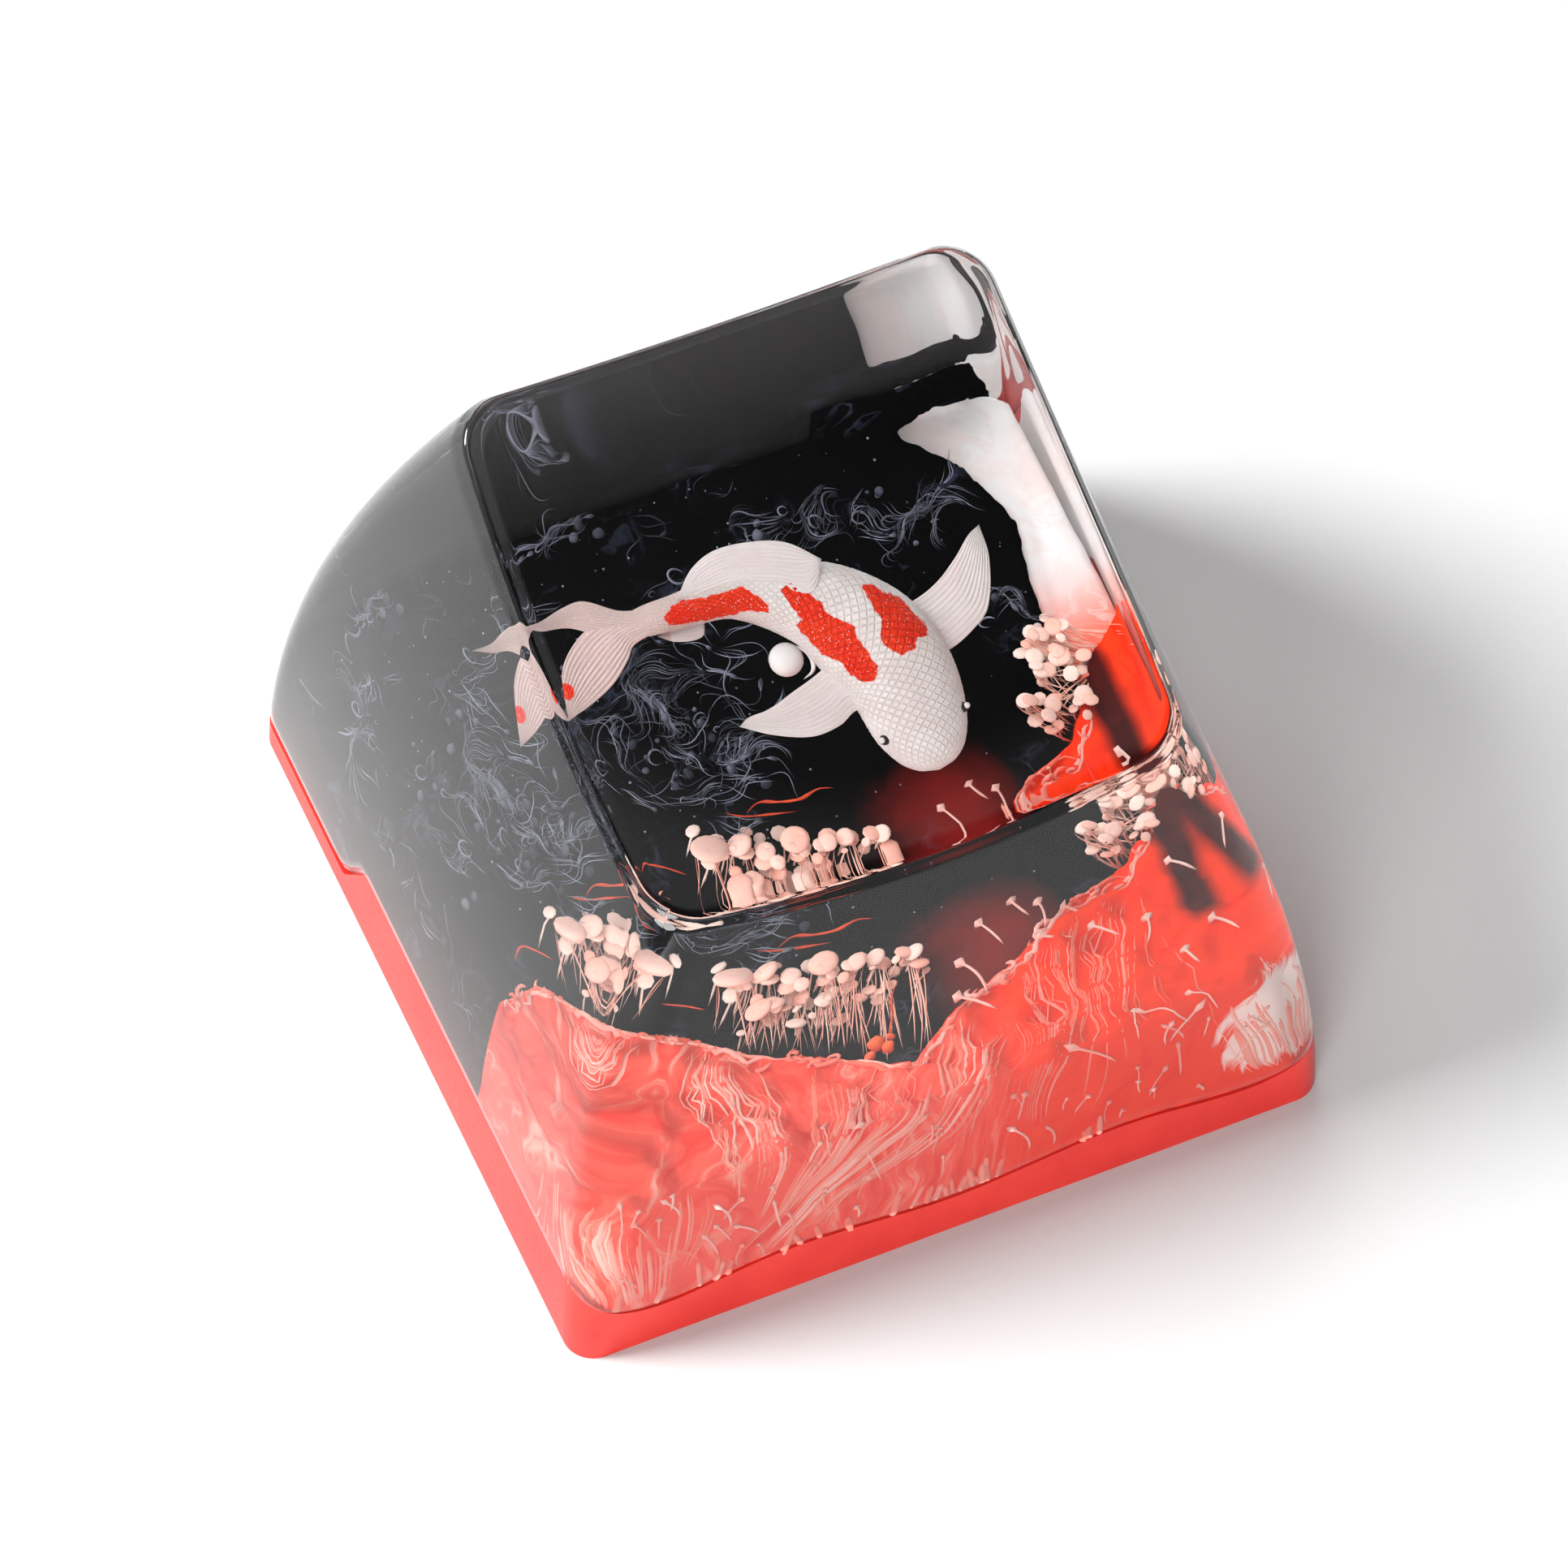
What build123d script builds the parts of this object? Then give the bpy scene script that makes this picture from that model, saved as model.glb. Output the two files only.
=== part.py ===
"""A one-unit artisan keycap: clear cast resin over ink clouds, with a koi inside and an opaque base.

Millimetres, +Z up, +X to the right, front towards -Y, origin at the middle of the bottom rim.
"""
import os
from math import atan2, cos, hypot, pi, sin, sqrt

from build123d import *

# Outer form: a square base that narrows and leans into a tilted square top
base_width = 18.4
top_width = 12.4
front_height = 12.1
back_height = 15.95
front_inset = 3.0
back_inset = 3.8
base_corner = 0.7
top_corner = 1.2
side_bulge = 1.8
front_bulge = 1.5
back_bulge = 1.85
form_shares = (0, 0.2, 0.4, 0.6, 0.8, 1.03)

# Spherical dish through the four corners of the top
dish_radius = 30.0
rim_bevel = 0.15

# Hollow underneath, its lining, and the stem with the cross socket
skirt_wall = 1.7
hollow_draft = 0.5
hollow_depth = 2.5
hollow_corner = 1.2
lining_wall = 0.7
ceiling_wall = 0.5
stem_diameter = 5.5
stem_recess = 0.3
stem_roof = 0.35
socket_length = 4.1
socket_width_x = 1.3
socket_width_y = 1.2
socket_depth = 3.6

# Pour line of the opaque base, seen from the front and from the side
rim_front = 1.35
rim_left = 2.6
rim_right = 2.0
rim_side = 2.4
rim_back = 0.75
rim_wave = 0.15
rim_step = 3.0

# Ink clouds over the lining, with a thin clear cover: their tops, and their borders seen from above
ink_cover = 0.15
red_top = 4.7
red_border = ((-7.2, -2.5), (-5.3, -2.6), (-3.8, -4.2), (-1.6, -5.7), (-0.5, -6.7), (0.6, -5.4),
              (2.8, -4.0), (4.5, -2.7), (5.8, -2.3), (7.2, -0.4))
red_left_edge = -3.4
red_right_edge = 1.4
black_floor = 3.6
mound_top = 4.5
mound_foot = 12.0
mound_crown = 6.4
black_border = ((5.6, 8.2), (7.0, 6.6), (7.6, 4.5), (7.2, 2.8), (7.0, 0.4))
film_left = 3.5
film_depth = 1.0
film_top = 5.2
pale_top = 3.2

# Drops of pale ink on thin tails, in rows: first head, last head, number and radius of the heads
drop_sides = 6
drop_rows = (
    ((-3.65, -2.05, 5.2), (0.3, -2.9, 4.95), 7, 0.27),
    ((-3.3, -2.95, 4.9), (-0.5, -3.4, 4.6), 7, 0.19),
    ((5.1, -1.1, 5.0), (6.5, -1.25, 4.8), 3, 0.24),
    ((6.0, -0.3, 4.95), (6.9, -0.1, 4.9), 3, 0.19),
    ((6.0, 0.5, 4.95), (6.8, 0.8, 4.9), 3, 0.19),
)
drop_tail = 0.06
# Half height and bevel of a head, in radii
drop_height = 0.8
drop_bevel = 0.4

# Koi, in a plane parallel to the top: spine from the snout to the tail root
koi_depth = 3.3
koi_spine_points = ((1.5, -4.6), (1.52, -3.5), (1.5, -2.1), (1.1, -1.05), (0.3, -0.05), (-1.3, 0.75),
                    (-3.75, 0.83))
koi_sections = ((0, 0.3, 0.25), (0.05, 0.78, 0.5), (0.13, 1.1, 0.75), (0.28, 1.28, 0.95), (0.4, 1.3, 1.0),
                (0.54, 1.02, 0.85), (0.73, 0.58, 0.6), (0.92, 0.38, 0.4), (1, 0.36, 0.3))
koi_sides = 12
koi_fin = 0.24
koi_dorsal_height = 1.25
koi_tail = ((-3.7, 1.15), (-5.0, 1.7), (-6.6, 1.6), (-5.35, 0.5), (-6.2, -0.8), (-4.8, -0.5), (-3.6, 0.5))
koi_right_fin = ((2.2, -0.75), (3.5, -0.3), (4.56, 0.37), (4.25, -1.1), (2.6, -2.1))
koi_left_fin = ((0.4, -2.75), (-1.1, -2.85), (-2.35, -2.15), (-1.2, -1.9), (0.0, -1.45))
koi_dorsal_arc = ((0.75, 0.1), (-0.55, 0.95), (-2.3, 0.95))

half_base = base_width / 2
half_top = top_width / 2
front_edge = front_inset - half_base
back_edge = half_base - back_inset
top_tilt = atan2(back_height - front_height, back_edge - front_edge)
half_slope = hypot(back_edge - front_edge, back_height - front_height) / 2
top_middle = Vector(0, (front_edge + back_edge) / 2, (front_height + back_height) / 2)
top_normal = Vector(0, -sin(top_tilt), cos(top_tilt))
dish_centre = top_middle + top_normal * sqrt(dish_radius**2 - half_top**2 - half_slope**2)
hollow_mouth = base_width - 2 * skirt_wall
hollow_top = hollow_mouth - 2 * hollow_draft
lining_top = hollow_depth + ceiling_wall
lining_mouth = hollow_mouth + 2 * lining_wall
lining_width = hollow_top + 2 * lining_wall
koi_plane = Plane(top_middle - top_normal * koi_depth, x_dir=(1, 0, 0), z_dir=top_normal)


def form_sections(cover, soften):
    """Outlines of the outer form at rising shares of its height, drawn in by a cover, corners softened."""
    outlines = []
    for share in form_shares:
        width = base_width - (base_width - top_width) * share**side_bulge
        front = front_inset * share**front_bulge - half_base
        back = half_base - back_inset * share**back_bulge
        rise = (back_height - front_height) * share
        tilt = atan2(rise, back - front)
        corner = base_corner + (top_corner - base_corner) * share
        middle = (0, (front + back) / 2, (front_height + back_height) / 2 * share)
        with BuildSketch(Plane(middle, x_dir=(1, 0, 0), z_dir=(0, -sin(tilt), cos(tilt)))) as outline:
            Rectangle(width - 2 * cover, hypot(back - front, rise) - 2 * cover)
            soften(outline.vertices(), corner)
        outlines.append(outline.sketch)
    return outlines


# Whole outside of the keycap, which the clear body and the base share
with BuildPart() as outer_form:
    loft(form_sections(0, fillet))
    with Locations(dish_centre):
        Sphere(dish_radius, mode=Mode.SUBTRACT)
    chamfer(outer_form.faces().filter_by(GeomType.SPHERE).edges(), rim_bevel)

# Space under the wavy pour line, from its front view and its side view
with BuildPart() as pour_space:
    with BuildSketch(Plane.XZ):
        with BuildLine():
            Polyline((-half_base, rim_left), (-half_base, 0), (half_base, 0), (half_base, rim_right))
            Spline(
                (-half_base, rim_left),
                (-half_base + rim_left / 2, rim_front),
                (-half_base / 2, rim_front + rim_wave),
                (0, rim_front - rim_wave),
                (half_base / 2, rim_front + rim_wave),
                (half_base - rim_right / 2, rim_front),
                (half_base, rim_right),
            )
        make_face()
    extrude(amount=half_base, both=True)
    with BuildSketch(Plane.YZ) as side_view:
        with BuildLine():
            Polyline(
                (-half_base, 0),
                (half_base, 0),
                (half_base, rim_back),
                (rim_step + rim_side / 2, rim_back),
                (rim_step, rim_side),
                (-half_base, rim_left),
                close=True,
            )
        make_face()
        fillet(side_view.vertices().group_by(Axis.X)[1:3], rim_back / 2)
    extrude(amount=half_base, both=True, mode=Mode.INTERSECT)

# Cross socket, and the open space underneath with the socket's upper part
with BuildPart() as socket:
    with BuildSketch(Plane.XY.offset(stem_recess)):
        Rectangle(socket_length, socket_width_x)
        Rectangle(socket_width_y, socket_length)
    extrude(amount=socket_depth)

with BuildPart() as hollow:
    with BuildSketch():
        RectangleRounded(hollow_mouth, hollow_mouth, hollow_corner)
    with BuildSketch(Plane.XY.offset(hollow_depth)):
        RectangleRounded(hollow_top, hollow_top, hollow_corner)
    loft()
    add(socket.part)

# Opaque base: rim under the pour line, lining of the hollow, stem with its cross socket
with BuildPart() as base_casting:
    with BuildSketch():
        Rectangle(lining_mouth, lining_mouth)
    with BuildSketch(Plane.XY.offset(lining_top)):
        Rectangle(lining_width, lining_width)
    loft()
    add(pour_space.part)
    add(outer_form.part, mode=Mode.INTERSECT)
    add(hollow.part, mode=Mode.SUBTRACT)
    with BuildSketch(Plane.XY.offset(stem_recess)):
        Circle(stem_diameter / 2)
    extrude(amount=socket_depth + stem_roof)
    add(socket.part, mode=Mode.SUBTRACT)
base_casting.part.label = "base_casting"

# Koi: body lofted along its spine, with tail, side fins and back fin
with BuildPart() as koi:
    with BuildLine(koi_plane) as koi_spine:
        Spline(*koi_spine_points)
    for share, half_width, half_height in koi_sections:
        along = koi_spine.line % share
        with BuildSketch(Plane(koi_spine.line @ share, x_dir=top_normal.cross(along), z_dir=along)):
            with BuildLine():
                turns = [2 * pi * side / koi_sides for side in range(koi_sides)]
                Polyline(*[(half_width * cos(turn), half_height * sin(turn)) for turn in turns], close=True)
            make_face()
    loft()
    for outline in (koi_tail, koi_right_fin, koi_left_fin):
        with BuildSketch(koi_plane):
            with BuildLine():
                for start, bend, end in zip(outline[0::2], outline[1::2], outline[2::2]):
                    ThreePointArc(start, bend, end)
                Line(outline[-1], outline[0])
            make_face()
        extrude(amount=koi_fin / 2, both=True)
    with BuildSketch(koi_plane):
        with BuildLine():
            ThreePointArc(*koi_dorsal_arc)
        trace(line_width=koi_fin)
    extrude(amount=koi_dorsal_height)
koi.part.label = "koi"

# Room of the ink clouds, inside a thin clear cover
with BuildPart() as ink_room:
    loft(form_sections(ink_cover, chamfer))

# Red cloud at the front, in two lobes with a notch between them
with BuildPart() as red_cloud:
    with BuildSketch():
        with BuildLine():
            Polyline(
                (half_base, red_right_edge),
                (half_base, -half_base),
                (-half_base, -half_base),
                (-half_base, red_left_edge),
                *red_border,
                close=True,
            )
        make_face()
    extrude(amount=red_top)
    add(ink_room.part, mode=Mode.INTERSECT)
    for piece in (hollow, base_casting):
        add(piece.part, mode=Mode.SUBTRACT)
red_cloud.part.label = "red_cloud"

# Black cloud over the rest: a floor with a mound over the stem, and a film up the back wall
with BuildPart() as black_cloud:
    with BuildSketch(Plane.XY.offset(black_floor)):
        Rectangle(mound_foot, mound_foot)
    with BuildSketch(Plane.XY.offset(mound_top)):
        Rectangle(mound_crown, mound_crown)
    loft()
    with BuildSketch():
        with BuildLine():
            Polyline(
                (black_border[-1][0], -half_base),
                (-half_base, -half_base),
                (-half_base, half_base),
                (film_left, half_base),
                *black_border,
                close=True,
            )
        make_face()
    extrude(amount=black_floor)
    with BuildSketch(Plane.XY.offset(pale_top)):
        with Locations((half_base, half_base)):
            Rectangle(half_base - film_left, film_depth, align=(Align.MAX, Align.MAX))
    extrude(amount=film_top - pale_top)
    add(ink_room.part, mode=Mode.INTERSECT)
    for piece in (hollow, base_casting, red_cloud):
        add(piece.part, mode=Mode.SUBTRACT)
black_cloud.part.label = "black_cloud"

# Pale cloud on the right, low behind the black one and up to the red one
with BuildPart() as pale_cloud:
    with BuildSketch():
        with Locations((half_base, half_base)):
            Rectangle(half_base - film_left, base_width, align=(Align.MAX, Align.MAX))
    extrude(amount=pale_top)
    add(ink_room.part, mode=Mode.INTERSECT)
    for piece in (hollow, base_casting, red_cloud, black_cloud):
        add(piece.part, mode=Mode.SUBTRACT)
pale_cloud.part.label = "pale_cloud"

# Drops: round heads whose tails stand on the clouds
with BuildPart() as pale_drops:
    for first, last, count, head in drop_rows:
        for turn in range(count):
            middle = Vector(*first) + (Vector(*last) - Vector(*first)) * (turn / (count - 1))
            with BuildSketch(Plane(middle)):
                RegularPolygon(head, drop_sides)
            extrude(amount=head * drop_height, both=True)
            chamfer(pale_drops.faces(Select.LAST).filter_by(Axis.Z).edges(), head * drop_bevel)
            with BuildSketch(Plane(middle)):
                RegularPolygon(drop_tail, drop_sides)
            extrude(amount=lining_top - middle.Z)
    for piece in (base_casting, red_cloud, black_cloud, pale_cloud):
        add(piece.part, mode=Mode.SUBTRACT)
pale_drops.part.label = "pale_drops"

# Clear resin round everything that is cast in
cast_in = (base_casting, koi, black_cloud, pale_cloud, red_cloud, pale_drops)
with BuildPart() as clear_body:
    add(outer_form.part)
    for piece in (hollow, *cast_in):
        add(piece.part, mode=Mode.SUBTRACT)
clear_body.part.label = "clear_body"

os.makedirs("parts", exist_ok=True)
for piece in (clear_body, *cast_in):
    export_step(piece.part, f"parts/{piece.part.label}.step")
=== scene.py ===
"""Looks of the artisan keycap: clear resin over ink clouds, with a koi inside and an opaque red base.

Sizes are in millimetres, in the CAD's frame, and turned into metres where a mesh is finished.
"""
import random
from math import atan2, copysign, cos, dist, hypot, pi, radians, sin, sqrt

import bmesh
import bpy
from mathutils import Matrix, Vector, noise
from mathutils.bvhtree import BVHTree


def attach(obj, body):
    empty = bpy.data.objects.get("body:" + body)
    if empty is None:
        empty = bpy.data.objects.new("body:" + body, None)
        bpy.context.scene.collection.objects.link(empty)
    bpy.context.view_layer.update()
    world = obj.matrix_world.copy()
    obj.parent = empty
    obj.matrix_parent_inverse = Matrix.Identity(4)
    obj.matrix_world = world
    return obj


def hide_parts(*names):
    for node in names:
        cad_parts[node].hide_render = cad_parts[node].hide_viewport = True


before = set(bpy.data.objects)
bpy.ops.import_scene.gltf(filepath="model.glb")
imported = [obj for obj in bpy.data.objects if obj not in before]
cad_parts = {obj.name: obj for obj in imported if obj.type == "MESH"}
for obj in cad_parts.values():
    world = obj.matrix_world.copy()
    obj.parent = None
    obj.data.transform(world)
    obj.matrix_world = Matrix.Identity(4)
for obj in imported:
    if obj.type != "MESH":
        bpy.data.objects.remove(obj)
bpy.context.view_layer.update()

MM = 0.001

# Outer form, as in the part's source
BASE_WIDTH = 18.4
TOP_WIDTH = 12.4
FRONT_HEIGHT = 12.1
BACK_HEIGHT = 15.95
FRONT_INSET = 3.0
BACK_INSET = 3.8
BASE_CORNER = 0.7
TOP_CORNER = 1.2
SIDE_BULGE = 1.8
FRONT_BULGE = 1.5
BACK_BULGE = 1.85
DISH_RADIUS = 30.0
RIM_BEVEL = 0.15

HALF_BASE = BASE_WIDTH / 2
HALF_TOP = TOP_WIDTH / 2
FRONT_EDGE = FRONT_INSET - HALF_BASE
BACK_EDGE = HALF_BASE - BACK_INSET
TOP_TILT = atan2(BACK_HEIGHT - FRONT_HEIGHT, BACK_EDGE - FRONT_EDGE)
HALF_SLOPE = hypot(BACK_EDGE - FRONT_EDGE, BACK_HEIGHT - FRONT_HEIGHT) / 2
TOP_MIDDLE = Vector((0, (FRONT_EDGE + BACK_EDGE) / 2, (FRONT_HEIGHT + BACK_HEIGHT) / 2))
TOP_NORMAL = Vector((0, -sin(TOP_TILT), cos(TOP_TILT)))
TOP_ALONG = Vector((0, cos(TOP_TILT), sin(TOP_TILT)))
DISH_CENTRE = TOP_MIDDLE + TOP_NORMAL * sqrt(DISH_RADIUS**2 - HALF_TOP**2 - HALF_SLOPE**2)

# Ink layer, as in the part's source
RED_TOP = 4.7
RED_BORDER = ((-7.2, -2.5), (-5.3, -2.6), (-3.8, -4.2), (-1.6, -5.7), (-0.5, -6.7), (0.6, -5.4),
              (2.8, -4.0), (4.5, -2.7), (5.8, -2.3), (7.2, -0.4))
BLACK_FLOOR = 3.6
MOUND_TOP = 4.5
MOUND_FOOT = 6.0
MOUND_CROWN = 3.2


# Number helpers

def clamp(value, low=0, high=1):
    """The value, held between two limits."""
    return min(max(value, low), high)


def crossing(low, high, rounds, holds):
    """Where a test stops holding between two values, found by halving."""
    for _ in range(rounds):
        middle = (low + high) / 2
        if holds(middle):
            low = middle
        else:
            high = middle
    return low


def shares(count):
    """Even shares from zero to one."""
    return [step / (count - 1) for step in range(count)]


def smooth_between(stations, share):
    """Smooth values at a share, between stations that each give their share and their values."""
    last = len(stations) - 1
    index = 0
    while index < last - 1 and share > stations[index + 1][0]:
        index += 1
    left, right = stations[index], stations[index + 1]
    before, after = stations[max(index - 1, 0)], stations[min(index + 2, last)]
    span = right[0] - left[0]
    t = clamp((share - left[0]) / span)
    values = []
    for k in range(1, len(left)):
        slope_in = (right[k] - before[k]) / (right[0] - before[0]) * span
        slope_out = (after[k] - left[k]) / (after[0] - left[0]) * span
        cubic = (2 * t**3 - 3 * t**2 + 1) * left[k] + (t**3 - 2 * t**2 + t) * slope_in
        cubic += (-2 * t**3 + 3 * t**2) * right[k] + (t**3 - t**2) * slope_out
        values.append(cubic)
    return values


def by_length(points):
    """Stations for a curve through the points, with the share of its length in front of each."""
    reach = [0.0]
    for first, second in zip(points, points[1:]):
        reach.append(reach[-1] + dist(first, second))
    return [(length / reach[-1], *point) for length, point in zip(reach, points)]


def along_curve(curve, count):
    """Even places on a smooth curve through the points."""
    stations = by_length(curve)
    return [Vector(smooth_between(stations, share)) for share in shares(count)]


# Outer form

def round_square(x, y, half_x, half_y, corner):
    """Point on a rounded rectangle for a point on the edge of the square from -1 to 1."""
    on_front = abs(x) < abs(y)
    run, reach, across = (x, half_x, half_y) if on_front else (y, half_y, half_x)
    straight = reach - corner
    path = abs(run) * (straight + corner * pi / 4)
    along, out = path, across
    if path > straight:
        turn = (path - straight) / corner
        along = straight + corner * sin(turn)
        out = across - corner + corner * cos(turn)
    along = copysign(along, run)
    out = copysign(out, y if on_front else x)
    return (along, out) if on_front else (out, along)


def form_point(x, y, share, cover=0.0):
    """Point of the outer form, drawn in by the cover, at a share of its height."""
    half = HALF_BASE - (HALF_BASE - HALF_TOP) * share**SIDE_BULGE - cover
    front = FRONT_INSET * share**FRONT_BULGE - HALF_BASE
    back = HALF_BASE - BACK_INSET * share**BACK_BULGE
    rise = (BACK_HEIGHT - FRONT_HEIGHT) * share
    tilt = atan2(rise, back - front)
    depth = hypot(back - front, rise) / 2 - cover
    corner = BASE_CORNER + (TOP_CORNER - BASE_CORNER) * share
    u, v = round_square(x, y, half, depth, corner)
    height = (FRONT_HEIGHT + BACK_HEIGHT) / 2 * share
    return Vector((u, (front + back) / 2 + v * cos(tilt), height + v * sin(tilt)))


def rim_share(x, y):
    """Share of the height at which the form meets the dish."""
    def under_dish(share):
        return (form_point(x, y, share) - DISH_CENTRE).length > DISH_RADIUS

    return crossing(0.7, 1.05, 26, under_dish)


def drop_to_dish(point):
    """The point moved along the top's normal onto the dish."""
    offset = point - DISH_CENTRE
    across = offset - TOP_NORMAL * offset.dot(TOP_NORMAL)
    return DISH_CENTRE + across - TOP_NORMAL * sqrt(DISH_RADIUS**2 - across.length_squared)


def wall_point(x, y, height, cover=0.0):
    """Point of a side wall at a height, behind the cover."""
    def too_low(share):
        return form_point(x, y, share, cover).z < height

    return form_point(x, y, crossing(0.0, 1.0, 20, too_low), cover)


def front_wall(run, height, cover):
    """Wall point on the front for a run from -1 to 1, and round its corners beyond that."""
    if abs(run) <= 1:
        return wall_point(run, -1, height, cover)
    return wall_point(copysign(1, run), abs(run) - 2, height, cover)


def black_height(x, y):
    """Height of the black cloud: a floor with a mound over the stem."""
    share = (MOUND_FOOT - max(abs(x), abs(y))) / (MOUND_FOOT - MOUND_CROWN)
    return BLACK_FLOOR + (MOUND_TOP - BLACK_FLOOR) * clamp(share)


# Mesh helpers

MERGE_DISTANCE = 0.003
FINE_END = 0.0005


def add_object(name, data):
    """A new object in the scene."""
    made = bpy.data.objects.new(name, data)
    bpy.context.scene.collection.objects.link(made)
    return made


def mesh_object(bm, name):
    """A new object that takes over a bmesh."""
    mesh = bpy.data.meshes.new(name)
    bm.to_mesh(mesh)
    bm.free()
    return add_object(name, mesh)


def finish_mesh(bm, name, material):
    """Closes a bmesh in millimetres and turns it into an object in metres that rides on the keycap."""
    bmesh.ops.remove_doubles(bm, verts=bm.verts, dist=MERGE_DISTANCE)
    if bm.calc_volume(signed=True) < 0:
        bmesh.ops.reverse_faces(bm, faces=bm.faces)
    bmesh.ops.scale(bm, vec=(MM, MM, MM), verts=bm.verts)
    piece = mesh_object(bm, name)
    for polygon in piece.data.polygons:
        polygon.use_smooth = True
    piece.data.materials.append(material)
    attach(piece, "root")
    return piece


def shell_of(piece):
    """A piece's faces in millimetres, ready for searches."""
    verts = [piece.matrix_world @ vert.co / MM for vert in piece.data.vertices]
    return BVHTree.FromPolygons(verts, [list(face.vertices) for face in piece.data.polygons])


def roll_up(bm, steps, sides, place, paint=None):
    """A grid rolled into a closed skin: place gives the point for a share along and a turn round."""
    for vert in bmesh.ops.create_grid(bm, x_segments=steps, y_segments=sides, size=1)["verts"]:
        share, turn = (vert.co.x + 1) / 2, pi * (vert.co.y + 1)
        vert.co = place(share, turn)
        if paint:
            paint(vert, share, turn)


def tube(bm, points, radii, sides, tone=0.0, fade=0.0):
    """A round cord of changing thickness along the points, with a tone that fades towards its ends."""
    steps = len(points) - 1
    across, over = [], []
    side = Vector((0.31, 0.52, 0.8))
    for step in range(steps + 1):
        along = points[min(step + 1, steps)] - points[max(step - 1, 0)]
        along.normalize()
        side = side - along * side.dot(along)
        if side.length < 1e-4:
            side = along.orthogonal()
        side.normalize()
        across.append(side)
        over.append(along.cross(side))

    def place(share, turn):
        step = round(share * steps)
        return points[step] + (across[step] * cos(turn) + over[step] * sin(turn)) * radii[step]

    def paint(vert, share, turn):
        vert[layer] = tone * (1 - fade + fade * sin(pi * share))

    layer = bm.verts.layers.float.get("tone")
    roll_up(bm, steps, sides, place, paint if layer else None)


def tapered(count, radius, head=0.0):
    """Radii of a thread with fine ends, or with a round head at its last end."""
    radii = []
    for share in shares(count):
        size = radius * min(1.0, 4 * share + 0.1)
        if head:
            lump = max(0.0, 1 - ((share - 0.9) / 0.1)**2)
            size = max(size, head * sqrt(lump))
        else:
            size *= min(1.0, 3 * (1 - share) + 0.1)
        radii.append(size)
    radii[0] = radii[-1] = FINE_END
    return radii


def new_toned():
    """An empty bmesh whose vertices carry a tone."""
    bm = bmesh.new()
    bm.verts.layers.float.new("tone")
    return bm


def add_ball(bm, centre, radius, tone, detail, rough=0.0):
    """A small puff or dot, with painted shade: its tone is darker underneath and lighter on top."""
    layer = bm.verts.layers.float.get("tone")
    for vert in bmesh.ops.create_icosphere(bm, subdivisions=detail, radius=radius)["verts"]:
        swell = 1 + rough * noise.noise((vert.co + centre) * 5)
        # Painted shade: the tone grows from the underside of the ball to its top.
        vert[layer] = tone * (0.6 + 0.4 * vert.co.z / radius)
        vert.co = centre + vert.co * swell


def thread(bm, points, radius, sides, tone=0.0, fade=0.0, head=0.0):
    """A tube with fine ends, or with a round head at its last end."""
    tube(bm, points, tapered(len(points), radius, head), sides, tone, fade)


def drawn(draw, *ranges):
    """A drawn value for each of the ranges."""
    return [draw.uniform(*limits) for limits in ranges]


def drawn_tilt(draw):
    """A drawn rotation that tips a flat curl."""
    return Matrix.Rotation(draw.uniform(-0.9, 0.9), 3, Vector((draw.random(), draw.random(), 0.1)))


# Material helpers

def new_material(name, gloss=0.5):
    """A material with its shader. What lies in the resin has no gloss of its own."""
    material = bpy.data.materials.new(name)
    material.use_nodes = True
    shader = material.node_tree.nodes["Principled BSDF"]
    shader.inputs["Specular IOR Level"].default_value = gloss
    return material, material.node_tree, shader


def is_socket(value):
    return isinstance(value, bpy.types.NodeSocket)


def fill(made, inputs):
    """Fills a node's sockets with values or with links from other sockets."""
    for name, value in inputs.items():
        if is_socket(value):
            made.id_data.links.new(value, made.inputs[name])
        else:
            made.inputs[name].default_value = value


def put(kind, inputs, tree=None, **settings):
    """Adds a node, in the tree given or in the one that its inputs come from, and fills its sockets."""
    if not tree:
        tree = next(value.id_data for value in inputs.values() if is_socket(value))
    made = tree.nodes.new("ShaderNode" + kind)
    for name, value in settings.items():
        setattr(made, name, value)
    fill(made, inputs)
    return made


def calculate(operation, first, second=0.0):
    """The result of a sum, a product or the like."""
    return put("Math", {0: first, 1: second}, operation=operation).outputs[0]


def plus(first, second):
    return calculate("ADD", first, second)


def times(first, second):
    return calculate("MULTIPLY", first, second)


def measure(operation, first, second):
    """A distance or the like, from two vectors."""
    return put("VectorMath", {0: first, 1: second}, operation=operation).outputs["Value"]


def mask(value, low, high):
    """Zero at the low value and one at the high one, smooth between them."""
    inputs = {"Value": value, "From Min": low, "From Max": high}
    return put("MapRange", inputs, interpolation_type="SMOOTHSTEP").outputs[0]


def blend(share, first, second):
    """Colour between two colours."""
    inputs = {0: share}
    for place, value in ((6, first), (7, second)):
        inputs[place] = value if is_socket(value) else (*value, 1)
    return put("Mix", inputs, data_type="RGBA").outputs[2]


def soft_noise(place, scale, detail, rough=0.5):
    """Cloudy values round a half."""
    inputs = {"Vector": place, "Scale": scale, "Detail": detail, "Roughness": rough}
    return put("TexNoise", inputs).outputs["Fac"]


def stored(tree, name):
    """What a mesh stores under a name."""
    return put("Attribute", {}, tree, attribute_name=name).outputs


def split(place):
    """The three coordinates of a place."""
    return put("SeparateXYZ", {0: place}).outputs


def in_millimetres(tree):
    """Object coordinates in millimetres."""
    place = put("TexCoord", {}, tree).outputs["Object"]
    return put("Mapping", {"Vector": place, "Scale": (1 / MM, 1 / MM, 1 / MM)}).outputs[0]


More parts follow.
